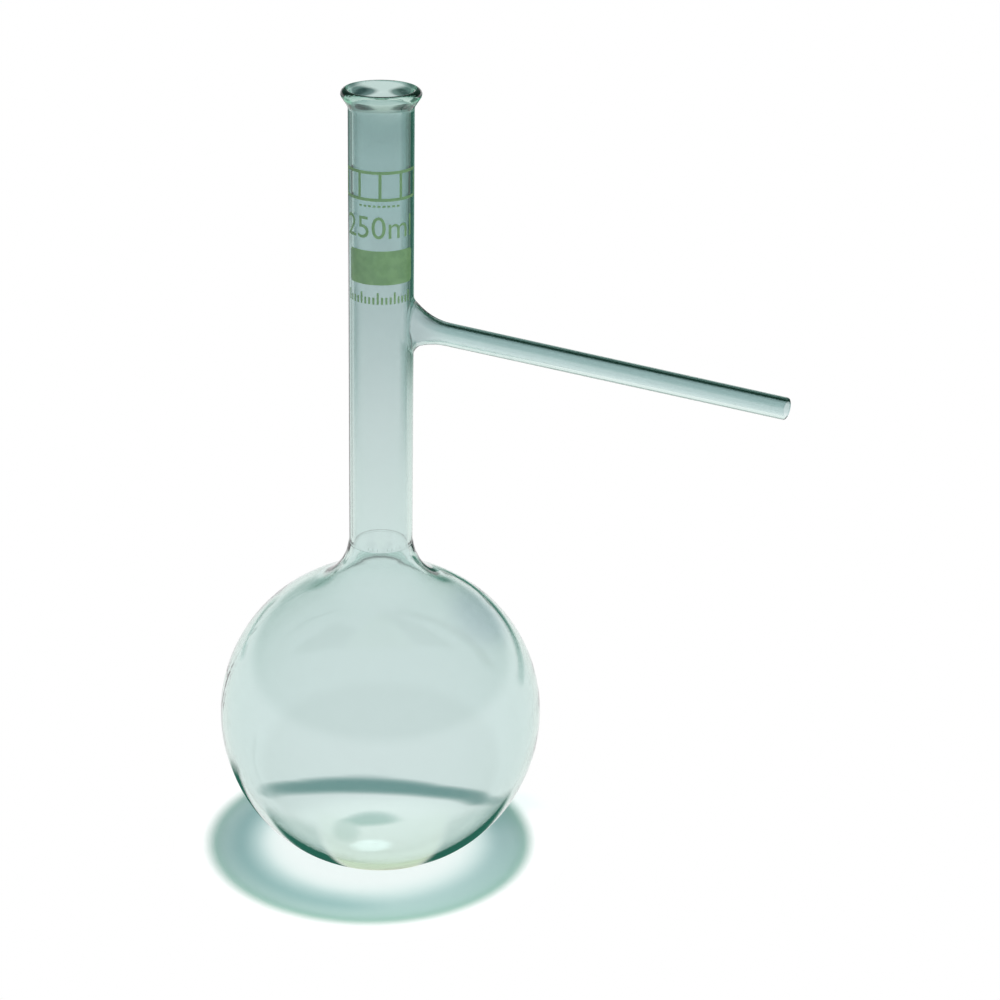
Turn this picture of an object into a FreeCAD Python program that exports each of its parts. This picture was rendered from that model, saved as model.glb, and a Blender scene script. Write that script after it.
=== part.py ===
"""A blown-glass distillation flask with a round bulb, a long neck and a sloping side arm.

The origin is the lowest point of the bulb, on the neck's axis. +Z runs up the neck, and the
side arm leaves towards +X and slopes down. Lengths are in millimetres, angles in degrees.

The flask is one piece of glass, so it is one solid: the form of its outer skin, less the form
of its inner skin. Both skins come from the same functions. The inner one is set in by the
walls, so convex radii shrink by a wall and hollow radii grow by one.
"""

import FreeCAD
import Part

import math
import os
from typing import NamedTuple

Vector = FreeCAD.Vector

# Bulb: a round lower half, and an upper half whose outline is drawn in towards the shoulder
BULB_DIAMETER = 85.0
BULB_CROWN_RADIUS = 40.2
BULB_WALL = 1.5

# Neck, and the hollow curve of the shoulder that it rises from
NECK_DIAMETER = 16.4
NECK_WALL = 1.3
SHOULDER_RADIUS = 15.0
FLASK_HEIGHT = 211.0

# Lip: a bead that was turned outwards and melted round
LIP_DIAMETER = 20.0
LIP_BEAD_DIAMETER = 2.5
LIP_UNDERSIDE_ANGLE = 33.0
LIP_ROOT_RADIUS = 1.5
MOUTH_FLARE_RADIUS = 10.0

# Side arm: a tube, measured along its own axis from the neck's axis
ARM_DIAMETER = 6.0
ARM_WALL = 1.0
ARM_HEIGHT = 152.0
ARM_SLOPE = 15.0
ARM_LENGTH = 110.6
ARM_END_RADIUS = 0.4

# Root of the side arm: a trumpet that opens towards the neck, taller than it is wide, and is
# blended into the neck's wall. Its radii are those of its curve where it leaves the plain tube.
TRUMPET_LENGTH = 17.5
TRUMPET_HEIGHT_RADIUS = 13.7
TRUMPET_WIDTH_RADIUS = 34.0
ROOT_RADIUS = 2.5
TRUMPET_SECTIONS = 6

# How far the hollow runs on past the mouth and the end of the arm, to cut them open
OPENING_OVERRUN = 2.0

# Distance between the points that a smooth outline is drawn through
OUTLINE_STEP = 2.0
FINE_OUTLINE_STEP = 0.3

FULL_TURN = 360.0
SAME_PLACE = 1e-3
POINTS_PER_EDGE = 5

ORIGIN = Vector()
NECK_AXIS = Vector(0, 0, 1)
CROSS_AXIS = Vector(0, 1, 0)
ARM_AXIS = Vector(1, 0, 0)
ARM_START = Vector(0, 0, ARM_HEIGHT)


class Skin(NamedTuple):
    """The radii of one skin of the glass, and how far it lies inside the arm's outer skin."""

    bulb: float
    crown: float
    neck: float
    shoulder: float
    root: float
    arm_inset: float


def outer_skin() -> Skin:
    """The radii of the outer skin."""
    return Skin(
        bulb=BULB_DIAMETER / 2,
        crown=BULB_CROWN_RADIUS,
        neck=NECK_DIAMETER / 2,
        shoulder=SHOULDER_RADIUS,
        root=ROOT_RADIUS,
        arm_inset=0.0,
    )


def inner_skin(outer: Skin) -> Skin:
    """The radii of the inner skin, set in from the outer one by the walls."""
    return Skin(
        bulb=outer.bulb - BULB_WALL,
        crown=outer.crown - BULB_WALL,
        neck=outer.neck - NECK_WALL,
        shoulder=outer.shoulder + NECK_WALL,
        root=outer.root + ARM_WALL,
        arm_inset=ARM_WALL,
    )


def point(radius: float, height: float) -> Vector:
    """A point of an upright outline, on the side of the axis that faces away from the arm."""
    return Vector(-radius, 0, height)


def line(start: Vector, end: Vector) -> Part.Edge:
    """A straight edge."""
    return Part.makeLine(start, end)


def arc(centre: Vector, start: Vector, end: Vector) -> Part.Edge:
    """The shorter arc about a centre from one point to another."""
    towards_middle = (start - centre) + (end - centre)
    middle = centre + towards_middle.normalize() * (start - centre).Length
    return Part.Arc(start, middle, end).toShape()


def smooth_outline(edges: list[Part.Edge], step: float, start: Vector, end: Vector) -> Part.Edge:
    """One smooth curve along a chain of edges, so that the glass shows no seam where they meet.

    Args:
        edges: the chain, from its start to its end.
        step: the longest distance between two of the points that the curve goes through.
        start: the curve's direction at its start.
        end: its direction at its end.
    """
    points = edges[0].discretize(Number=2)[:1]
    for edge in edges:
        points += edge.discretize(Number=math.ceil(edge.Length / step) + 1)[1:]
    curve = Part.BSplineCurve()
    curve.interpolate(Points=points, InitialTangent=start, FinalTangent=end)
    return curve.toShape()


def spun(edges: list[Part.Edge], base: Vector, axis: Vector) -> Part.Shape:
    """The solid that a closed outline sweeps in a full turn about an axis."""
    return Part.Face(Part.Wire(edges)).revolve(base, axis, FULL_TURN)


def bulb_to_neck(skin: Skin) -> tuple[list[Part.Edge], Vector]:
    """The outline from the bulb's lowest point through the shoulder, and where the neck starts.

    Args:
        skin: the radii of the skin that the outline is for.
    """
    bulb_centre = point(0, BULB_DIAMETER / 2)
    crown_centre = bulb_centre + point(skin.bulb - skin.crown, 0)
    bulb_bottom = bulb_centre - NECK_AXIS * skin.bulb
    bulb_side = bulb_centre + point(skin.bulb, 0)
    between = skin.crown + skin.shoulder
    reach = skin.neck + skin.shoulder
    rise = math.sqrt(between**2 - (reach + crown_centre.x) ** 2)
    shoulder_centre = bulb_centre + point(reach, rise)
    crown_end = crown_centre + (shoulder_centre - crown_centre) * (skin.crown / between)
    neck_start = point(skin.neck, shoulder_centre.z)
    chain = [
        arc(bulb_centre, bulb_bottom, bulb_side),
        arc(crown_centre, bulb_side, crown_end),
        arc(shoulder_centre, crown_end, neck_start),
    ]
    return [smooth_outline(chain, OUTLINE_STEP, point(1, 0), NECK_AXIS)], neck_start


def lip_bead() -> tuple[float, Vector]:
    """The radius and the centre of the bead's round section."""
    radius = LIP_BEAD_DIAMETER / 2
    return radius, point(LIP_DIAMETER / 2 - radius, FLASK_HEIGHT - radius)


def outer_body(skin: Skin) -> Part.Shape:
    """The bulb, neck and lip as a full solid."""
    edges, neck_start = bulb_to_neck(skin)
    bead_radius, bead_centre = lip_bead()
    angle = math.radians(LIP_UNDERSIDE_ANGLE)
    facing = point(math.cos(angle), -math.sin(angle))
    underside_top = bead_centre + facing * bead_radius
    root_reach = skin.neck + LIP_ROOT_RADIUS
    gap = LIP_ROOT_RADIUS - (root_reach + underside_top.x) * math.cos(angle)
    root_centre = point(root_reach, underside_top.z - gap / math.sin(angle))
    neck_end = point(skin.neck, root_centre.z)
    underside_bottom = root_centre - facing * LIP_ROOT_RADIUS
    bead_side = bead_centre + point(bead_radius, 0)
    bead_top = bead_centre + NECK_AXIS * bead_radius
    axis_top = point(0, FLASK_HEIGHT)
    lip = [
        arc(root_centre, neck_end, underside_bottom),
        line(underside_bottom, underside_top),
        arc(bead_centre, underside_top, bead_side),
        arc(bead_centre, bead_side, bead_top),
    ]
    edges += [
        line(neck_start, neck_end),
        smooth_outline(lip, FINE_OUTLINE_STEP, NECK_AXIS, point(-1, 0)),
        line(bead_top, axis_top),
        line(axis_top, edges[0].firstVertex().Point),
    ]
    return spun(edges, ORIGIN, NECK_AXIS)


def inner_body(skin: Skin) -> Part.Shape:
    """The hollow of the bulb and neck, which opens out at the mouth into the lip's bead."""
    edges, neck_start = bulb_to_neck(skin)
    bead_radius, bead_centre = lip_bead()
    reach = skin.neck + MOUTH_FLARE_RADIUS
    between = MOUTH_FLARE_RADIUS - bead_radius
    fall = math.sqrt(between**2 - (reach + bead_centre.x) ** 2)
    flare_centre = point(reach, bead_centre.z - fall)
    flare_end = flare_centre + (bead_centre - flare_centre) * (MOUTH_FLARE_RADIUS / between)
    neck_end = point(skin.neck, flare_centre.z)
    bead_top = bead_centre + NECK_AXIS * bead_radius
    overrun = NECK_AXIS * OPENING_OVERRUN
    axis_top = point(0, FLASK_HEIGHT) + overrun
    mouth = [arc(flare_centre, neck_end, flare_end), arc(bead_centre, flare_end, bead_top)]
    edges += [
        line(neck_start, neck_end),
        smooth_outline(mouth, FINE_OUTLINE_STEP, NECK_AXIS, point(1, 0)),
        line(bead_top, bead_top + overrun),
        line(bead_top + overrun, axis_top),
        line(axis_top, edges[0].firstVertex().Point),
    ]
    return spun(edges, ORIGIN, NECK_AXIS)


def trumpet_section(distance: float, inset: float) -> Part.Wire:
    """The upright oval of the trumpet at a distance along the arm from the neck's axis.

    Both half sizes grow from the plain tube's radius as a parabola. The inset is measured
    square to that curve, so the wall stays even.
    """
    run = TRUMPET_LENGTH - distance
    half_sizes = []
    for radius in (TRUMPET_HEIGHT_RADIUS, TRUMPET_WIDTH_RADIUS):
        outer = ARM_DIAMETER / 2 + run**2 / (2 * radius)
        half_sizes.append(outer - inset * math.hypot(1, run / radius))
    half_height, half_width = half_sizes
    centre = Vector(distance, 0, 0)
    top = centre + Vector(0, 0, half_height)
    side = centre + Vector(0, half_width, 0)
    return Part.Wire(Part.Ellipse(top, side, centre).toShape())


def trumpet(inset: float) -> Part.Shape:
    """The trumpet along the arm's axis, from its mouth halfway into the neck to the plain tube."""
    mouth = outer_skin().neck / 2
    step = (TRUMPET_LENGTH - mouth) / (TRUMPET_SECTIONS - 1)
    places = [mouth + step * i for i in range(TRUMPET_SECTIONS)]
    return Part.makeLoft([trumpet_section(place, inset) for place in places], True)


def plain_tube(inset: float, end_radius: float, overrun: float) -> Part.Shape:
    """The straight stretch of the arm along its axis, from the trumpet to its end.

    Args:
        inset: how far the skin lies inside the arm's outer skin.
        end_radius: how far the end opens out at its rim. It is negative where it closes in.
        overrun: how far the tube runs on past its end.
    """
    radius = ARM_DIAMETER / 2 - inset
    start = Vector(TRUMPET_LENGTH, 0, radius)
    end = Vector(ARM_LENGTH - abs(end_radius), 0, radius)
    end_centre = end + Vector(0, 0, end_radius)
    rim = Vector(ARM_LENGTH, 0, end_centre.z)
    corners = [rim]
    if overrun:
        corners.append(rim + Vector(overrun, 0, 0))
    corners += [Vector(ARM_LENGTH + overrun, 0, 0), Vector(TRUMPET_LENGTH, 0, 0), start]
    edges = [line(start, end), arc(end_centre, end, rim)]
    edges += [line(one, other) for one, other in zip(corners, corners[1:])]
    return spun(edges, ORIGIN, ARM_AXIS)


def arm_body(skin: Skin, end_radius: float, overrun: float) -> Part.Shape:
    """The side arm with its trumpet, swung down to its slope.

    Args:
        skin: the skin that the arm is for.
        end_radius: how far the end opens out at its rim. It is negative where it closes in.
        overrun: how far the arm runs on past its end.
    """
    arm = trumpet(skin.arm_inset).fuse(plain_tube(skin.arm_inset, end_radius, overrun))
    arm.rotate(ORIGIN, CROSS_AXIS, ARM_SLOPE)
    arm.translate(ARM_START)
    return arm


def blended(body: Part.Shape, arm: Part.Shape, skin: Skin) -> Part.Shape:
    """Body and arm as one solid, with a rolled blend where the arm leaves the neck.

    Args:
        body: the form about the neck's axis.
        arm: the form about the arm's axis.
        skin: the radii of the skin that both belong to.
    """
    joined = body.fuse(arm)
    edges = [edge for edge in joined.Edges if not edge.Degenerated]
    root_edges = [edge for edge in edges if lies_on_neck_wall(edge, skin)]
    return joined.makeFillet(skin.root, root_edges)


def lies_on_neck_wall(edge: Part.Edge, skin: Skin) -> bool:
    """Whether an edge is where the arm meets the neck, going by points along it."""
    points = edge.discretize(Number=POINTS_PER_EDGE)
    on_wall = all(abs(math.hypot(p.x, p.y) - skin.neck) < SAME_PLACE for p in points)
    on_arm_side = all(p.x > SAME_PLACE for p in points)
    slants = max(p.z for p in points) - min(p.z for p in points) > SAME_PLACE
    return on_wall and on_arm_side and slants


def flask() -> Part.Shape:
    """The whole flask: the outer form less the hollow."""
    outer = outer_skin()
    inner = inner_skin(outer)
    glass = blended(outer_body(outer), arm_body(outer, -ARM_END_RADIUS, 0), outer)
    hollow = blended(inner_body(inner), arm_body(inner, ARM_END_RADIUS, OPENING_OVERRUN), inner)
    return glass.cut(hollow)


def main() -> None:
    """Build the flask and write it as its one node."""
    shape = flask()
    print("valid", shape.isValid(), "solids", len(shape.Solids), "volume", round(shape.Volume, 1))
    os.makedirs("parts", exist_ok=True)
    shape.exportStep("parts/flask.step")


main()
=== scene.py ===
"""The looks of a blown-glass distillation flask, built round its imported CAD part.

The flask is one piece of clear glass, so its CAD node keeps its own form and gets a glass
finish. The marks that are fired on the neck are thin pieces of their own, which lie on the
glass. Lengths are in metres, in the part's frame: +Z runs up the neck and +X is the arm's side.
"""

import logging
import math
from dataclasses import dataclass, field
from enum import Enum

import bmesh
import bpy
from mathutils import Matrix, Vector


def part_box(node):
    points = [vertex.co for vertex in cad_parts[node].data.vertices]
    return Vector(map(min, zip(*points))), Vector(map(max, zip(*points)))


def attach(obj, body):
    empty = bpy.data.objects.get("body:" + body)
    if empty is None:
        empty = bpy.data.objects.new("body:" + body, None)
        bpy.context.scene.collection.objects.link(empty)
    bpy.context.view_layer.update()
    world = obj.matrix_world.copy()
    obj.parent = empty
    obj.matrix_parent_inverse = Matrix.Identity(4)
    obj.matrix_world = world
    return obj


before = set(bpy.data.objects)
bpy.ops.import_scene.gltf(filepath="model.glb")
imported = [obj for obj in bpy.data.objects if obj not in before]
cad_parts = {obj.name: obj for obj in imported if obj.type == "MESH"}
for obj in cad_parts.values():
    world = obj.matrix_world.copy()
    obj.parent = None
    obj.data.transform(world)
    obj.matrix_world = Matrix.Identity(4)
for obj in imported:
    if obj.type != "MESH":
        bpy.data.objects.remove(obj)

LOG = logging.getLogger("flask")
MM = 0.001
WHITE = (1.0, 1.0, 1.0, 1.0)
FLASK_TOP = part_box("flask")[1]
FLASK_HEIGHT = FLASK_TOP.z
BULB_RADIUS = FLASK_TOP.y
NECK_RADIUS = 8.2 * MM

Colour = tuple[float, float, float]


class Socket:
    """An output of a shader graph, on which Python's operators add Math nodes."""

    def __init__(self, graph: "Graph", output: bpy.types.NodeSocket) -> None:
        """Wrap an output socket.

        Args:
            graph: the graph that the socket belongs to.
            output: the socket itself.
        """
        self.graph = graph
        self.output = output

    def _math(self, operation: str, first: "Term", second: "Term") -> "Socket":
        """The result of a Math node on two terms."""
        return self.graph.add("ShaderNodeMath", {"operation": operation}, {0: first, 1: second})

    def __add__(self, other: "Term") -> "Socket":
        """Self plus other."""
        return self._math("ADD", self, other)

    def __radd__(self, other: "Term") -> "Socket":
        """Other plus self."""
        return self._math("ADD", other, self)

    def __sub__(self, other: "Term") -> "Socket":
        """Self less other."""
        return self._math("SUBTRACT", self, other)

    def __rsub__(self, other: "Term") -> "Socket":
        """Other less self."""
        return self._math("SUBTRACT", other, self)

    def __mul__(self, other: "Term") -> "Socket":
        """Self times other."""
        return self._math("MULTIPLY", self, other)

    def __rmul__(self, other: "Term") -> "Socket":
        """Other times self."""
        return self._math("MULTIPLY", other, self)

    def __truediv__(self, other: "Term") -> "Socket":
        """Self over other."""
        return self._math("DIVIDE", self, other)

    def __pow__(self, other: "Term") -> "Socket":
        """Self to the power of other."""
        return self._math("POWER", self, other)

    def __abs__(self) -> "Socket":
        """Self without its sign."""
        return self.graph.add("ShaderNodeMath", {"operation": "ABSOLUTE"}, {0: self})

    def below(self, limit: "Term") -> "Socket":
        """One where self is less than the limit, and nought elsewhere."""
        return self._math("LESS_THAN", self, limit)

    def at_most(self, limit: "Term") -> "Socket":
        """The lesser of self and the limit."""
        return self._math("MINIMUM", self, limit)

    def at_least(self, limit: "Term") -> "Socket":
        """The greater of self and the limit."""
        return self._math("MAXIMUM", self, limit)

    def rise(self, start: float, end: float) -> "Socket":
        """Nought before start, one past end, and a smooth rise between them.

        Args:
            start: the value at which the rise starts.
            end: the value at which it is complete. It may be lower than start.

        Returns:
            The socket with the eased value.
        """
        inputs = {"Value": self, "From Min": start, "From Max": end}
        return self.graph.add("ShaderNodeMapRange", {"interpolation_type": "SMOOTHSTEP"}, inputs)


Term = Socket | float


class Graph:
    """A shader graph that is built from nothing by typed calls."""

    def __init__(self, tree: bpy.types.NodeTree) -> None:
        """Empty a node tree and take it over.

        Args:
            tree: the tree of a material or of the world.
        """
        self.tree = tree
        tree.nodes.clear()

    def add(self, kind: str, settings: dict | None = None, inputs: dict | None = None,
            output: str | int = 0) -> Socket:
        """Add a node: its type, its settings, and then its sockets.

        Args:
            kind: the node's type name.
            settings: its properties. The entry "stops" holds a colour ramp's (place, colour)s.
            inputs: values or sockets for its inputs, by name or number.
            output: which of its outputs is wanted.

        Returns:
            The wanted output.
        """
        node = self.tree.nodes.new(kind)
        for name, value in (settings or {}).items():
            if name == "stops":
                self._set_stops(node.color_ramp, value)
            else:
                setattr(node, name, value)
        for name, value in (inputs or {}).items():
            if isinstance(value, Socket):
                self.tree.links.new(value.output, node.inputs[name])
            else:
                node.inputs[name].default_value = value
        return Socket(self, node.outputs[output]) if node.outputs else Socket(self, None)

    @staticmethod
    def _set_stops(ramp: bpy.types.ColorRamp, stops: tuple[tuple[float, Colour], ...]) -> None:
        """Give a colour ramp its stops, in order of their places."""
        while len(ramp.elements) > 1:
            ramp.elements.remove(ramp.elements[-1])
        for number, (place, colour) in enumerate(stops):
            stop = ramp.elements[0] if number == 0 else ramp.elements.new(place)
            stop.position = place
            stop.color = (*colour, 1.0)

    def position(self) -> Socket:
        """The place in the part's own frame."""
        return self.add("ShaderNodeTexCoord", output="Object")

    def parts(self, vector: Socket) -> tuple[Socket, Socket, Socket]:
        """The X, Y and Z of a vector."""
        axes = self.add("ShaderNodeSeparateXYZ", {}, {0: vector})
        return tuple(Socket(self, axes.output.node.outputs[name]) for name in "XYZ")

    def noise(self, vector: Socket, scale: float, detail: float = 2.0) -> Socket:
        """A soft noise of about 0.5 over a vector."""
        inputs = {"Vector": vector, "Scale": scale, "Detail": detail}
        return self.add("ShaderNodeTexNoise", {}, inputs, "Fac")

    def scaled(self, vector: Socket, factors: tuple[float, float, float]) -> Socket:
        """A vector with each part multiplied by its own factor."""
        return self.add("ShaderNodeVectorMath", {"operation": "MULTIPLY"}, {0: vector, 1: factors})

    def moved(self, vector: Socket, origin: tuple[float, float, float]) -> Socket:
        """A place as seen from another origin."""
        return self.add("ShaderNodeVectorMath", {"operation": "SUBTRACT"}, {0: vector, 1: origin})

    def length(self, vector: Socket) -> Socket:
        """The length of a vector."""
        return self.add("ShaderNodeVectorMath", {"operation": "LENGTH"}, {0: vector}, "Value")

    def blend(self, factor: Term, first: Socket | tuple, second: Socket | tuple,
              how: str = "MIX") -> Socket:
        """Two colours mixed by a factor, in the given way."""
        settings = {"data_type": "RGBA", "blend_type": how, "clamp_factor": True}
        inputs = {0: factor, 6: first, 7: second}
        return self.add("ShaderNodeMix", settings, inputs, 2)

    def mixed(self, factor: Term, first: Socket, second: Socket) -> Socket:
        """Two shaders mixed by a factor."""
        return self.add("ShaderNodeMixShader", {}, {0: factor, 1: first, 2: second})

    def bump(self, height: Socket, distance: float) -> Socket:
        """A normal that a height raises."""
        return self.add("ShaderNodeBump", {}, {"Distance": distance, "Height": height})

    @staticmethod
    def labelled(socket: Socket, words: str) -> Socket:
        """A socket, once the node that it comes from has its label."""
        socket.output.node.label = words
        return socket


def new_material(name: str) -> tuple[bpy.types.Material, Graph]:
    """An empty material and its graph."""
    material = bpy.data.materials.new(name)
    material.use_nodes = True
    return material, Graph(material.node_tree)


@dataclass(frozen=True)
class GlassSpot:
    """A soft patch of another colour in the glass, by its middle and half its size each way. Patches hold
    deeper green glass, painted reflections and a painted highlight.
    """

    name: str
    middle: tuple[float, float, float]
    half: tuple[float, float, float]
    colour: Colour
    core: float = 0.3

    def share(self, graph: Graph, place: Socket) -> Socket:
        """How far a place lies in the patch: one in its core and nought outside it."""
        offset = graph.moved(place, tuple(value * MM for value in self.middle))
        factors = tuple(1.0 / (value * MM) for value in self.half)
        share = 1.0 - graph.length(graph.scaled(offset, factors)).rise(self.core, 1.0)
        return graph.labelled(share, self.name)


@dataclass(frozen=True)
class ClearGlass:
    """Clear blown glass: a pale teal that deepens up the neck, and green where it is deep."""

    name: str = "clear_glass"
    tints: tuple[tuple[float, Colour], ...] = (
        (0.000, (0.912, 0.934, 0.955)),
        (0.400, (0.880, 0.912, 0.932)),
        (0.460, (0.850, 0.888, 0.898)),
        (0.600, (0.788, 0.826, 0.842)),
        (0.730, (0.680, 0.735, 0.755)),
        (0.860, (0.578, 0.682, 0.696)),
        (0.925, (0.545, 0.652, 0.662)),
        (0.955, (0.485, 0.595, 0.602)),
        (0.970, (0.510, 0.625, 0.628)),
        (0.985, (0.690, 0.780, 0.780)),
    )
    spots: tuple[GlassSpot, ...] = (
        # The patches on the right and left of the shoulder are painted dark reflections, and the one on
        # the bulb's upper right is painted shade. The one on the lip's front is a painted highlight, and
        # the two at the back of the lip are painted dark reflections inside it. The two at the lip's ends
        # are the deep green of its glass seen edge-on.
        GlassSpot("shoulder_right_painted_reflection", (15.2, -0.3, 81.0), (7.0, 3.2, 5.5), (0.13, 0.30, 0.25)),
        GlassSpot("shoulder_left_painted_reflection", (-15.5, 0.5, 80.8), (8.5, 3.6, 5.5), (0.50, 0.62, 0.60)),
        GlassSpot("bulb_right_painted_shade", (25.0, -10.0, 73.5), (15.0, 16.0, 11.0), (0.72, 0.76, 0.82)),
        GlassSpot("lip_front_painted_highlight", (0.0, -9.4, 209.3), (9.6, 4.2, 2.4), (1.0, 1.0, 1.0), 0.7),
        GlassSpot("lip_left", (-9.4, 0.3, 209.2), (2.1, 6.5, 2.3), (0.10, 0.62, 0.34)),
        GlassSpot("lip_right", (9.4, -1.8, 209.2), (2.1, 6.5, 2.3), (0.14, 0.64, 0.38)),
        GlassSpot("lip_back_left_painted_reflection", (-4.2, 6.3, 208.7), (5.2, 4.4, 1.3), (0.04, 0.08, 0.08), 0.6),
        GlassSpot("lip_back_right_painted_reflection", (6.0, 4.4, 208.7), (4.7, 4.6, 1.3), (0.05, 0.10, 0.09), 0.6),
    )
    cloud_scale: float = 60.0
    cloud_share: float = 0.03
    # Painted shade on the neck's sides where they are seen edge-on: the right side by this ramp, the left
    # side by the colour and facing below.
    neck_edge_painted_shade: tuple[tuple[float, Colour], ...] = (
        (0.28, (1.00, 1.00, 1.00)),
        (0.38, (0.47, 0.62, 0.59)),
        (0.50, (0.43, 0.59, 0.55)),
        (0.58, (0.22, 0.36, 0.31)),
    )
    neck_left_painted_shade: Colour = (0.50, 0.64, 0.63)
    neck_left_facing: tuple[float, float] = (0.30, 0.62)
    neck_middle: tuple[float, float] = (-1.0 * MM, 1.0 * MM)
    neck_reach: tuple[float, float] = (8.3 * MM, 9.0 * MM)
    neck_edge_heights: tuple[float, float] = (104.0 * MM, 150.0 * MM)
    # Painted light and shade across the arm, from below its axis to above it: a lighter lower side and a
    # dark upper side.
    arm_painted_light_and_shade: tuple[tuple[float, Colour], ...] = (
        (0.30, (0.90, 0.95, 0.965)),
        (0.48, (0.63, 0.73, 0.74)),
        (0.82, (0.57, 0.67, 0.68)),
        (0.93, (0.08, 0.14, 0.135)),
    )
    # Painted shade along the arm's upper edge, where it is seen edge-on.
    arm_edge_painted_shade: Colour = (0.16, 0.25, 0.24)
    arm_edge_facing: tuple[float, float] = (0.45, 0.80)
    arm_edge_over: tuple[float, float] = (0.3, 0.8)
    arm_edge_start: tuple[float, float] = (8.3 * MM, 9.2 * MM)
    arm_foot: float = 149.8 * MM
    arm_slope: float = math.radians(15.0)
    arm_radius: float = 3.0 * MM
    arm_start: tuple[float, float] = (8.6 * MM, 18.0 * MM)
    arm_lowest: tuple[float, float] = (108.0 * MM, 114.0 * MM)
    refraction: float = 1.473
    roughness: float = 0.02
    depth_colour: Colour = (0.24, 0.66, 0.46)
    depth_density: float = 95.0
    clear_shade: Colour = (0.93, 0.965, 0.97)
    edge_shade: Colour = (0.690, 0.780, 0.797)
    edge_starts: tuple[float, float] = (0.16, 0.42)
    near_fade: float = 0.68
    neck_fade: float = 0.80
    neck_start: tuple[float, float] = (80.0 * MM, 95.0 * MM)
    wave_height: float = 0.03 * MM
    wave_scale: float = 70.0
    wave_stretch: tuple[float, float, float] = (1.0, 1.0, 0.25)

    def material(self) -> bpy.types.Material:
        """The finish as a material."""
        material, graph = new_material(self.name)
        place = graph.position()
        _, across, height = graph.parts(place)
        facing = graph.add("ShaderNodeLayerWeight", {}, {"Blend": 0.5}, "Facing")
        waves = graph.noise(graph.scaled(place, self.wave_stretch), self.wave_scale, 1.0)
        glass = graph.add(
            "ShaderNodeBsdfPrincipled",
            {},
            {
                "Base Color": self._tint_and_painted_light(graph, place, facing),
                "Metallic": 0.0,
                "Roughness": self.roughness,
                "IOR": self.refraction,
                "Transmission Weight": 1.0,
                "Normal": graph.bump(waves, self.wave_height),
            },
        )
        near = (across / -BULB_RADIUS).at_least(0.0)
        rim = facing.rise(*self.edge_starts) * (1.0 - near * self.near_fade)
        rim = rim * (1.0 - height.rise(*self.neck_start) * self.neck_fade)
        path = graph.add("ShaderNodeLightPath", output="Is Shadow Ray")
        clear = graph.add("ShaderNodeBsdfTransparent", {}, {"Color": (*self.clear_shade, 1.0)})
        edge = graph.add("ShaderNodeBsdfTransparent", {}, {"Color": (*self.edge_shade, 1.0)})
        middle_part = graph.mixed(path, glass, clear)
        edge_part = graph.mixed(path, glass, edge)
        surface = graph.mixed(rim, middle_part, edge_part)
        depth = graph.add(
            "ShaderNodeVolumeAbsorption",
            {},
            {"Color": (*self.depth_colour, 1.0), "Density": self.depth_density},
        )
        graph.add("ShaderNodeOutputMaterial", {}, {"Surface": surface, "Volume": depth})
        return material

    def _tint_and_painted_light(self, graph: Graph, place: Socket, facing: Socket) -> Socket:
        """The glass's tint all over, with painted shade, painted reflections and a painted highlight laid
        on it.

        Args:
            graph: the shader graph.
            place: the place in the part's frame.
            facing: how far the surface turns away from the eye, from nought to one.

        Returns:
            The colour.
        """
        _, _, height = graph.parts(place)
        cloud = graph.noise(place, self.cloud_scale)
        share = height / FLASK_HEIGHT + (cloud - 0.5) * self.cloud_share
        tint = graph.add("ShaderNodeValToRGB", {"stops": self.tints}, {"Fac": share}, "Color")
        tint = self._with_painted_neck_shade(graph, place, facing, tint)
        tint = self._with_arm_painted_light(graph, place, facing, tint)
        # Patches of painted reflection, painted shade and painted highlight, and of deep green glass.
        for spot in self.spots:
            tint = graph.blend(spot.share(graph, place), tint, (*spot.colour, 1.0))
        return tint

    def _with_painted_neck_shade(self, graph: Graph, place: Socket, facing: Socket, tint: Socket) -> Socket:
        """The tint with painted shade on the neck's sides, darker where they are seen edge-on.

        Args:
            graph: the shader graph.
            place: the place in the part's frame.
            facing: how far the surface turns away from the eye.
            tint: the tint so far.

        Returns:
            The tint with the painted shade on the neck's sides.
        """
        out, _, height = graph.parts(place)
        ramp = {"stops": self.neck_edge_painted_shade}
        right = graph.add("ShaderNodeValToRGB", ramp, {"Fac": facing}, "Color")
        left = graph.blend(facing.rise(*self.neck_left_facing), WHITE, (*self.neck_left_painted_shade, 1.0))
        # Painted shade on both sides of the neck.
        edges = graph.blend(out.rise(*self.neck_middle), left, right)
        on_neck = height.rise(*self.neck_edge_heights) * (1.0 - out.rise(*self.neck_reach))
        return graph.blend(on_neck, tint, edges, "MULTIPLY")

    def _with_arm_painted_light(self, graph: Graph, place: Socket, facing: Socket, tint: Socket) -> Socket:
        """The tint with the side arm's own laid over it: painted light on the arm's lower side and
        painted shade along its upper side.

        Args:
            graph: the shader graph.
            place: the place in the part's frame.
            facing: how far the surface turns away from the eye.
            tint: the tint of the rest of the flask.

        Returns:
            The tint of the whole flask.
        """
        out, _, height = graph.parts(place)
        axis = self.arm_foot - (out - NECK_RADIUS) * math.tan(self.arm_slope)
        over = (height - axis) * math.cos(self.arm_slope) / self.arm_radius
        ramp = {"stops": self.arm_painted_light_and_shade}
        arm = graph.add("ShaderNodeValToRGB", ramp, {"Fac": over * 0.5 + 0.5}, "Color")
        straight = out.rise(*self.arm_start) * height.rise(*self.arm_lowest)
        tint = graph.blend(straight, tint, arm)
        # Painted shade along the arm's upper ridge.
        painted_ridge_shade = facing.rise(*self.arm_edge_facing) * over.rise(*self.arm_edge_over)
        painted_ridge_shade = painted_ridge_shade * out.rise(*self.arm_edge_start)
        return graph.blend(painted_ridge_shade, tint, (*self.arm_edge_painted_shade, 1.0))


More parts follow.
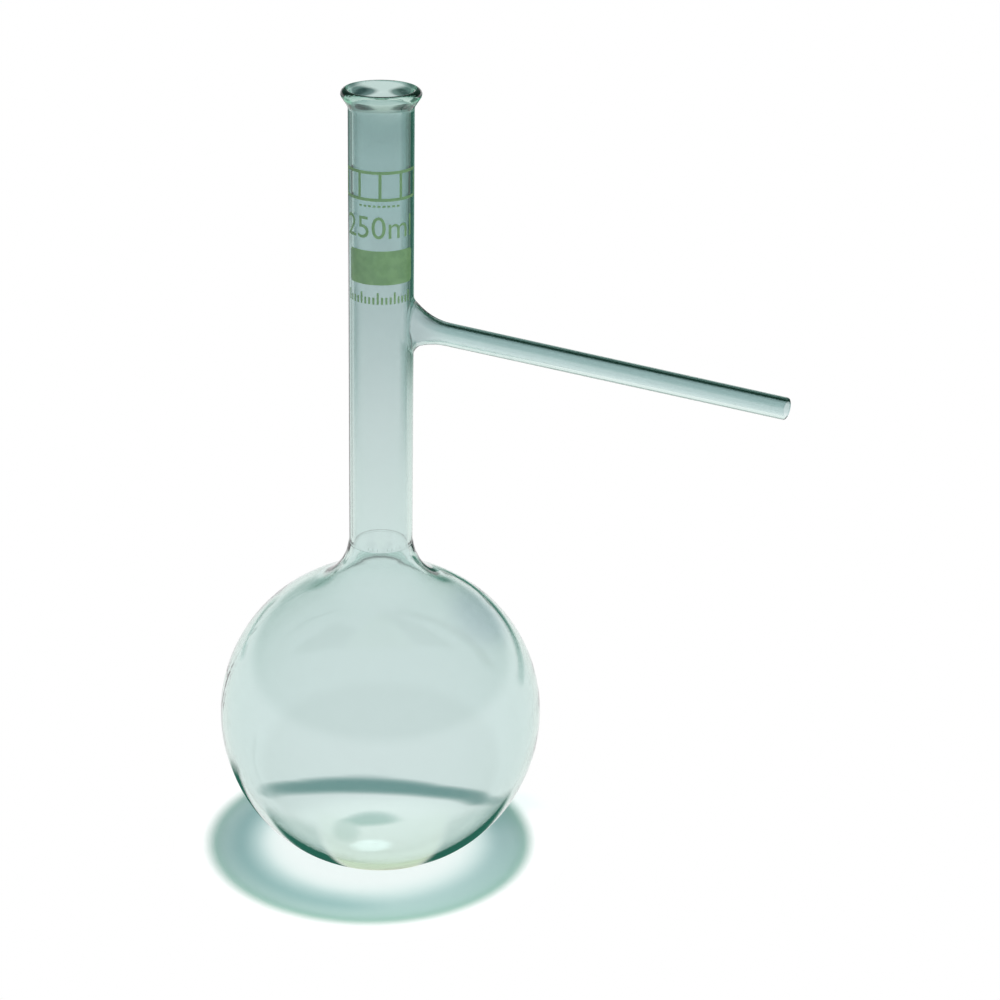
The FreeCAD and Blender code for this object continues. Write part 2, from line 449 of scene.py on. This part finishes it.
@dataclass(frozen=True)
class FiredEnamel:
    """Green enamel fired on the glass: matt, a little see-through and unevenly covering."""

    name: str = "fired_enamel"
    thick: Colour = (0.13, 0.29, 0.10)
    thin: Colour = (0.17, 0.345, 0.135)
    cover: float = 0.88
    cover_spread: float = 0.12
    coat_scale: float = 420.0
    coat_edge: tuple[float, float] = (0.35, 0.65)
    grain_scale: float = 2600.0
    grain_stretch: tuple[float, float, float] = (1.0, 1.0, 0.4)
    grain_cover: float = 0.12
    grain_roughness: float = 0.3
    grain_height: float = 0.01 * MM
    refraction: float = 1.5
    roughness: float = 0.55

    def material(self) -> bpy.types.Material:
        """The finish as a material."""
        material, graph = new_material(self.name)
        place = graph.position()
        coat = graph.noise(place, self.coat_scale, 4.0)
        grain = graph.noise(graph.scaled(place, self.grain_stretch), self.grain_scale, 3.0)
        laid = graph.blend(coat.rise(*self.coat_edge), (*self.thick, 1.0), (*self.thin, 1.0))
        cover = self.cover + (coat - 0.5) * self.cover_spread + (grain - 0.5) * self.grain_cover
        enamel = graph.add(
            "ShaderNodeBsdfPrincipled",
            {},
            {
                "Base Color": laid,
                "Metallic": 0.0,
                "Roughness": self.roughness + (grain - 0.5) * self.grain_roughness,
                "IOR": self.refraction,
                "Alpha": cover.at_most(1.0),
                "Normal": graph.bump(grain, self.grain_height),
            },
        )
        graph.add("ShaderNodeOutputMaterial", {}, {"Surface": enamel})
        return material


class MarkKind(Enum):
    """The kinds of mark that are fired on the neck."""

    FRAME = "frame"
    DASHES = "dashes"
    CAPACITY = "capacity"
    PATCH = "patch"
    TICKS = "ticks"


@dataclass(frozen=True)
class Mark:
    """One mark on the neck: its middle and half its width in degrees, its heights, its stroke."""

    name: str
    kind: MarkKind
    middle: float
    half_width: float
    low: float
    high: float
    stroke: float = 0.75 * MM


@dataclass
class NeckMarks:
    """The marks on the neck: the capacity, a write-on patch and plain shapes round them."""

    lift: float = 0.03 * MM
    front: float = math.radians(-97.1)
    step: float = 0.35 * MM
    text: str = "250ml"
    bar_places: tuple[float, ...] = (-1.0, -0.5, 0.0, 0.5, 1.0)
    dashes: int = 9
    dash_fill: float = 0.62
    ticks: int = 17
    tick_fill: float = 0.5
    long_tick_every: int = 4
    short_tick: float = 0.6
    corner_steps: int = 6
    enamel: FiredEnamel = field(default_factory=FiredEnamel)
    marks: tuple[Mark, ...] = (
        Mark("mark_frame", MarkKind.FRAME, -2.0, 78.0, 184.9 * MM, 192.4 * MM),
        Mark("mark_dashes", MarkKind.DASHES, -2.0, 38.0, 183.4 * MM, 183.9 * MM),
        Mark("mark_capacity", MarkKind.CAPACITY, -5.5, 66.5, 175.4 * MM, 181.0 * MM),
        Mark("mark_patch", MarkKind.PATCH, 0.0, 64.0, 163.6 * MM, 172.3 * MM, 0.9 * MM),
        Mark("mark_ticks", MarkKind.TICKS, -4.0, 64.0, 158.6 * MM, 161.6 * MM, 0.5 * MM),
    )

    def build(self) -> list[bpy.types.Object]:
        """Build every mark as a thin curved piece on the glass, and return them."""
        material = self.enamel.material()
        pieces = []
        for mark in self.marks:
            flat = self._flat(mark)
            self._cut(flat)
            self._wrap(flat, mark)
            mesh = bpy.data.meshes.new(mark.name)
            flat.to_mesh(mesh)
            flat.free()
            mesh.materials.append(material)
            piece = bpy.data.objects.new(mark.name, mesh)
            bpy.context.scene.collection.objects.link(piece)
            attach(piece, "root")
            LOG.info("%s: %d faces", mark.name, len(mesh.polygons))
            pieces.append(piece)
        return pieces

    def _flat(self, mark: Mark) -> bmesh.types.BMesh:
        """A mark laid flat: X along the neck's round from its middle, and Y up from its foot."""
        half = math.radians(mark.half_width) * NECK_RADIUS
        tall = mark.high - mark.low
        shape = bmesh.new()
        match mark.kind:
            case MarkKind.FRAME:
                self._frame(shape, half, tall, mark.stroke)
            case MarkKind.DASHES:
                self._row(shape, half, [tall] * self.dashes, self.dash_fill)
            case MarkKind.CAPACITY:
                self._figures(shape, half, tall)
            case MarkKind.PATCH:
                self._patch(shape, half, tall, mark.stroke)
            case MarkKind.TICKS:
                short = self.short_tick * tall
                long_ones = range(0, self.ticks, self.long_tick_every)
                heads = [tall if number in long_ones else short for number in range(self.ticks)]
                self._row(shape, half, heads, self.tick_fill)
        return shape

    @staticmethod
    def _box(shape: bmesh.types.BMesh, left: float, right: float, low: float, high: float) -> None:
        """Add a flat rectangle."""
        corners = ((left, low), (right, low), (right, high), (left, high))
        shape.faces.new([shape.verts.new((x, y, 0.0)) for x, y in corners])

    def _frame(self, shape: bmesh.types.BMesh, half: float, tall: float, stroke: float) -> None:
        """An outlined field, with upright bars at its sides and between them."""
        self._box(shape, -half, half, 0.0, stroke)
        self._box(shape, -half, half, tall - stroke, tall)
        for share in self.bar_places:
            middle = share * (half - stroke / 2)
            self._box(shape, middle - stroke / 2, middle + stroke / 2, stroke, tall - stroke)

    def _row(self, shape: bmesh.types.BMesh, half: float, heads: list[float], fill: float) -> None:
        """A row of small bars of equal width.

        Args:
            shape: what they are added to.
            half: half the length of the row.
            heads: the height of each bar.
            fill: how much of its place each bar fills.
        """
        pitch = 2.0 * half / len(heads)
        for number, head in enumerate(heads):
            left = -half + number * pitch
            self._box(shape, left, left + pitch * fill, 0.0, head)

    def _patch(self, shape: bmesh.types.BMesh, half: float, tall: float, corner: float) -> None:
        """A solid field with rounded corners."""
        step = math.pi / 2 / self.corner_steps
        turns = [step * number for number in range(self.corner_steps + 1)]
        centres = ((half, tall), (-half, tall), (-half, 0.0), (half, 0.0))
        outline = []
        for quarter, (x, y) in enumerate(centres):
            middle_x = x - math.copysign(corner, x)
            middle_y = y - corner if y else corner
            for turn in turns:
                angle = turn + quarter * math.pi / 2
                outline.append((middle_x + corner * math.cos(angle), middle_y + corner * math.sin(angle)))
        shape.faces.new([shape.verts.new((x, y, 0.0)) for x, y in outline])

    def _figures(self, shape: bmesh.types.BMesh, half: float, tall: float) -> None:
        """The capacity in plain figures, fitted to the mark's width and height."""
        curve = bpy.data.curves.new("figures", "FONT")
        curve.body = self.text
        curve.resolution_u = 4
        holder = bpy.data.objects.new("figures", curve)
        bpy.context.scene.collection.objects.link(holder)
        bpy.context.view_layer.update()
        mesh = bpy.data.meshes.new_from_object(holder)
        shape.from_mesh(mesh)
        bpy.data.objects.remove(holder)
        bpy.data.curves.remove(curve)
        bpy.data.meshes.remove(mesh)
        xs = [vertex.co.x for vertex in shape.verts]
        ys = [vertex.co.y for vertex in shape.verts]
        wide = 2.0 * half / (max(xs) - min(xs))
        high = tall / (max(ys) - min(ys))
        for vertex in shape.verts:
            vertex.co.x = (vertex.co.x - min(xs)) * wide - half
            vertex.co.y = (vertex.co.y - min(ys)) * high

    def _cut(self, shape: bmesh.types.BMesh) -> None:
        """Cut a flat mark into upright strips, so that it can bend round the neck."""
        reach = max(abs(vertex.co.x) for vertex in shape.verts)
        for number in range(-int(reach / self.step), int(reach / self.step) + 1):
            parts = shape.verts[:] + shape.edges[:] + shape.faces[:]
            place = Vector((number * self.step, 0.0, 0.0))
            bmesh.ops.bisect_plane(shape, geom=parts, dist=1e-7, plane_co=place, plane_no=(1, 0, 0))

    def _wrap(self, shape: bmesh.types.BMesh, mark: Mark) -> None:
        """Bend a flat mark round the neck, at its own height and side."""
        radius = NECK_RADIUS + self.lift
        for vertex in shape.verts:
            turn = self.front + math.radians(mark.middle) + vertex.co.x / NECK_RADIUS
            height = mark.low + vertex.co.y
            vertex.co = Vector((radius * math.cos(turn), radius * math.sin(turn), height))


@dataclass
class Flask:
    """The flask itself: the CAD node, dressed in clear glass."""

    node: str = "flask"
    glass: ClearGlass = field(default_factory=ClearGlass)

    def build(self) -> bpy.types.Object:
        """Put the finish on the CAD node, and return it."""
        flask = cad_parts[self.node]
        material = self.glass.material()
        for slot in flask.material_slots:
            slot.material = material
        LOG.info("flask: %d faces", len(flask.data.polygons))
        return flask


@dataclass(frozen=True)
class FloorStreak:
    """A shaded or bright streak on the floor, as the bulb gathers it, seen through the glass."""

    name: str
    middle: tuple[float, float]
    half: tuple[float, float]
    slope: float
    bend: float
    colour: Colour
    core: float = 0.3
    fullness: float = 2.0

    def share(self, graph: Graph, place: Socket) -> Socket:
        """How far a place on the floor lies in the streak.

        Args:
            graph: the floor's shader graph.
            place: the place on the floor.

        Returns:
            One in the streak's core and nought outside it, with soft edges.
        """
        x, y, _ = graph.parts(place)
        along = x / MM - self.middle[0]
        across = y / MM - self.middle[1] - along * self.slope - along * along * self.bend
        far = abs(along / self.half[0]) ** self.fullness + (across / self.half[1]) ** 2.0
        return graph.labelled(1.0 - far.rise(self.core, 1.0), self.name)


@dataclass(frozen=True)
class FloorShade:
    """A shaded part of the floor, between two circles and two directions from the flask."""

    name: str
    turn: float
    spread: float
    near: float
    far: float
    colour: Colour
    softness: float = 0.12
    side_softness: float = 0.15

    def share(self, graph: Graph, turn: Socket, away: Socket) -> Socket:
        """How far a place on the floor lies in the shade.

        Args:
            graph: the floor's shader graph.
            turn: the place's direction from the flask, in degrees from +X.
            away: the place's distance from the flask, in millimetres.

        Returns:
            One inside the shade, nought outside it, with soft edges.
        """
        start, end = 1.0 - self.side_softness, 1.0 + self.side_softness
        inside = 1.0 - abs(turn - self.turn).rise(self.spread * start, self.spread * end)
        low, high = 1.0 - self.softness, 1.0 + self.softness
        inside = inside * (1.0 - away.rise(self.far * low, self.far * high))
        if self.near:
            inside = inside * away.rise(self.near * low, self.near * high)
        return graph.labelled(inside, self.name)


@dataclass
class Studio:
    """The floor, the lamps, the surroundings and the camera."""

    floor_radius: float = 4.0
    floor_segments: int = 96
    paper_scale: float = 900.0
    paper_colours: tuple[Colour, Colour] = ((0.90, 0.90, 0.90), (0.92, 0.92, 0.92))
    paper_roughness: float = 0.9
    lamp_place: Vector = field(default_factory=lambda: Vector((0.0526, -0.146, 1.1)))
    lamp_width: float = 0.11
    lamp_power: float = 12.5
    ambient: float = 0.26
    shadow_centre: Vector = field(default_factory=lambda: Vector((-2.0, 6.0, 0.0)) * MM)
    shadow_edge: tuple[float, float] = (47.5 * MM, 54.0 * MM)
    ceiling: Colour = (0.07, 0.18, 0.13)
    ceiling_through: float = 0.35
    ceiling_rise: tuple[float, float] = (0.0, 0.22)
    shadow_back: tuple[float, float] = (42.0 * MM, 50.0 * MM)
    glow_edge: tuple[float, float] = (22.0 * MM, 36.0 * MM)
    glow_share: float = 0.6
    streaks: tuple[FloorStreak, ...] = (
        FloorStreak("middle_light", (0.0, 2.0), (42.0, 30.0), 0.0, 0.0, (1.19, 1.18, 1.16)),
        FloorStreak("far_arc", (3.5, 34.5), (43.0, 6.8), -0.24, -0.0085, (0.17, 0.34, 0.33), 0.0, 6.0),
        FloorStreak("middle_grey", (-1.5, 14.5), (11.0, 5.0), 0.0, -0.01, (0.66, 0.80, 0.76), 0.1),
        FloorStreak("left_grey", (-9.0, 8.0), (5.0, 8.0), 0.0, 0.0, (0.92, 0.98, 0.95), 0.1),
        FloorStreak("middle_spot", (-3.0, -1.0), (7.0, 4.5), 0.0, 0.0, (1.55, 1.55, 1.55), 0.2),
    )
    shades: tuple[FloorShade, ...] = (
        FloorShade("foot_left", -157.0, 22.0, 0.0, 50.0, (0.03, 0.15, 0.11)),
        FloorShade("foot_front", -95.0, 38.0, 0.0, 62.0, (0.78, 0.86, 0.68)),
        FloorShade("foot_right", -28.0, 29.0, 17.0, 55.0, (0.03, 0.15, 0.11)),
        FloorShade("left_strip", 146.0, 9.0, 0.0, 70.0, (0.03, 0.15, 0.11)),
        FloorShade("right_spot", 39.0, 3.0, 20.0, 42.0, (0.10, 0.22, 0.20)),
        FloorShade("neck_right", 50.0, 25.0, 400.0, 1300.0, (0.09, 0.24, 0.19)),
        FloorShade("neck_left", 115.0, 12.0, 600.0, 1300.0, (0.36, 0.49, 0.46)),
    )
    # Painted shadow on the paper: a darker line on the left side of the ring-shaped shadow, and a darker
    # patch on its right.
    painted_ring_shadow_line: tuple[float, float, float, float] = (26.0 * MM, 31.5 * MM, 35.0 * MM, 40.5 * MM)
    painted_ring_shadow_side: tuple[float, float] = (2.0 * MM, -16.0 * MM)
    painted_ring_shadow_colour: Colour = (0.71, 0.79, 0.79)
    ring_right_painted_shadow: FloorShade = FloorShade(
        "ring_right_painted_shadow", 33.0, 18.0, 31.0, 43.0, (0.64, 0.75, 0.72), side_softness=0.75
    )
    eye: Vector = field(default_factory=lambda: Vector((-78.4, -627.4, 364.0)) * MM)
    yaw: float = math.radians(9.908)
    pitch: float = math.radians(22.405)
    roll: float = math.radians(1.098)
    lens: float = 95.306
    sensor_width: float = 36.0
    nearest: float = 0.01
    furthest: float = 20.0

    def build(self) -> None:
        """Set up everything round the object."""
        self._floor()
        self._world()
        self._lamp()
        self._camera()
        bpy.context.scene.view_settings.view_transform = "Standard"

    @staticmethod
    def _seen_directly(graph: Graph) -> Socket:
        """One for what the camera sees, straight or through and off the object's glass."""
        path = graph.add("ShaderNodeLightPath", output="Is Camera Ray")
        outputs = path.output.node.outputs
        glossy = Socket(graph, outputs["Is Glossy Ray"])
        through = Socket(graph, outputs["Is Transmission Ray"])
        bounced = Socket(graph, outputs["Diffuse Depth"])
        return (path + glossy + through).at_most(1.0) * bounced.below(0.5)

    def _floor(self) -> None:
        """A round floor, wide enough to fill the view."""
        mesh = bpy.data.meshes.new("floor")
        shape = bmesh.new()
        bmesh.ops.create_circle(
            shape, cap_ends=True, segments=self.floor_segments, radius=self.floor_radius
        )
        shape.to_mesh(mesh)
        shape.free()
        mesh.materials.append(self._floor_material())
        floor = bpy.data.objects.new("floor", mesh)
        bpy.context.scene.collection.objects.link(floor)

    def _floor_material(self) -> bpy.types.Material:
        """Pale paper that takes the object's shadow, and plain white further out."""
        material, graph = new_material("studio_floor")
        place = graph.position()
        _, back, _ = graph.parts(place)
        away = graph.length(graph.moved(place, tuple(self.shadow_centre)))
        seen = self._seen_directly(graph)
        beyond = (away.rise(*self.shadow_edge) + back.rise(*self.shadow_back)).at_most(1.0)
        glow = (1.0 - away.rise(*self.glow_edge)) * self.glow_share
        # The paper's colour holds a painted shadow line and a painted shadow patch.
        paper = self._paper_with_painted_shadow(graph, place, away)
        lit = graph.add(
            "ShaderNodeBsdfPrincipled",
            {},
            {"Base Color": paper, "Roughness": self.paper_roughness, "Specular IOR Level": 0.0},
        )
        white = graph.add("ShaderNodeEmission", {}, {"Color": WHITE})
        plain = graph.mixed((beyond + glow).at_most(1.0) * seen, lit, white)
        straight = graph.add("ShaderNodeLightPath", output="Is Camera Ray")
        gathered = graph.add("ShaderNodeEmission", {}, {"Color": self._gathered(graph, place)})
        surface = graph.mixed(seen * (1.0 - straight), plain, gathered)
        graph.add("ShaderNodeOutputMaterial", {}, {"Surface": surface})
        return material

    def _paper_with_painted_shadow(self, graph: Graph, place: Socket, away: Socket) -> Socket:
        """The paper's colour, with a painted shadow line and a painted darker side in the ring-shaped
        shadow.

        Args:
            graph: the floor's shader graph.
            place: the place on the floor.
            away: its distance from the shadow's middle.

        Returns:
            The colour.
        """
        darker, lighter = self.paper_colours
        grain = graph.noise(place, self.paper_scale)
        pale = graph.blend(grain, (*darker, 1.0), (*lighter, 1.0))
        # Painted shadow: a darker line on the left of the ring-shaped shadow, then a darker patch on its
        # right.
        inner, crest, fall, outer = self.painted_ring_shadow_line
        out, _, _ = graph.parts(place)
        line = away.rise(inner, crest) * (1.0 - away.rise(fall, outer))
        line = line * out.rise(*self.painted_ring_shadow_side)
        pale = graph.blend(line, pale, (*self.painted_ring_shadow_colour, 1.0))
        right = self.ring_right_painted_shadow.share(graph, *self._round(graph, place))
        return graph.blend(right, pale, (*self.ring_right_painted_shadow.colour, 1.0))

    @staticmethod
    def _round(graph: Graph, place: Socket) -> tuple[Socket, Socket]:
        """A place's direction from the flask in degrees, and its distance in millimetres."""
        x, y, _ = graph.parts(place)
        turn = graph.add("ShaderNodeMath", {"operation": "ARCTAN2"}, {0: y, 1: x}) * math.degrees(1.0)
        return turn, graph.length(place) / MM

    def _gathered(self, graph: Graph, place: Socket) -> Socket:
        """The floor's colour as it is seen through the glass or mirrored in it.

        Args:
            graph: the floor's shader graph.
            place: the place on the floor.

        Returns:
            White, with the streaks or the shades laid over it.
        """
        unmirrored = graph.add("ShaderNodeLightPath", output="Glossy Depth").below(0.5)
        through = mirrored = WHITE
        for streak in self.streaks:
            through = graph.blend(streak.share(graph, place), through, (*streak.colour, 1.0))
        turn, away = self._round(graph, place)
        for shade in self.shades:
            share = shade.share(graph, turn, away)
            mirrored = graph.blend(share, mirrored, (*shade.colour, 1.0))
        return graph.blend(unmirrored, mirrored, through)

    def _world(self) -> None:
        """White surroundings for what is seen, and a soft plain level for what is lit."""
        world = bpy.data.worlds.new("surroundings")
        world.use_nodes = True
        bpy.context.scene.world = world
        graph = Graph(world.node_tree)
        seen = self._seen_directly(graph)
        strength = seen + (1.0 - seen) * self.ambient
        straight = graph.add("ShaderNodeLightPath", output="Is Camera Ray")
        direction = graph.add("ShaderNodeTexCoord", output="Generated")
        _, _, rise = graph.parts(direction)
        mirrored = 1.0 - graph.add("ShaderNodeLightPath", output="Glossy Depth").below(0.5)
        share = mirrored * (1.0 - self.ceiling_through) + self.ceiling_through
        overhead = rise.rise(*self.ceiling_rise) * share * (1.0 - straight) * seen
        shade = graph.blend(overhead, WHITE, (*self.ceiling, 1.0))
        light = graph.add("ShaderNodeBackground", {}, {"Color": shade, "Strength": strength})
        graph.add("ShaderNodeOutputWorld", {}, {"Surface": light})

    def _lamp(self) -> None:
        """The overhead softbox."""
        lamp = bpy.data.lights.new("softbox", "AREA")
        lamp.shape = "DISK"
        lamp.size = self.lamp_width
        lamp.energy = self.lamp_power
        holder = bpy.data.objects.new("softbox", lamp)
        holder.location = self.lamp_place
        holder.rotation_euler = (-self.lamp_place).to_track_quat("-Z", "Y").to_euler()
        holder.visible_glossy = False
        holder.visible_transmission = False
        bpy.context.scene.collection.objects.link(holder)

    def _camera(self) -> None:
        """The camera, at the photograph's place and angle."""
        camera = bpy.data.cameras.new("camera")
        camera.lens = self.lens
        camera.sensor_width = self.sensor_width
        camera.clip_start = self.nearest
        camera.clip_end = self.furthest
        holder = bpy.data.objects.new("camera", camera)
        bpy.context.scene.collection.objects.link(holder)
        ahead = Vector((math.sin(self.yaw), math.cos(self.yaw), 0)) * math.cos(self.pitch)
        ahead.z = -math.sin(self.pitch)
        right = Vector((math.cos(self.yaw), -math.sin(self.yaw), 0))
        up = right.cross(ahead)
        rolled_right = right * math.cos(self.roll) + up * math.sin(self.roll)
        rolled_up = up * math.cos(self.roll) - right * math.sin(self.roll)
        turn = Matrix((rolled_right, rolled_up, -ahead)).transposed()
        holder.matrix_world = Matrix.Translation(self.eye) @ turn.to_4x4()
        bpy.context.scene.camera = holder


def main() -> None:
    """Build the flask's looks and the studio round it, in order."""
    logging.basicConfig(level=logging.INFO, format="%(message)s")
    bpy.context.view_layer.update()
    Flask().build()
    NeckMarks().build()
    Studio().build()


if __name__ == "__main__":
    main()
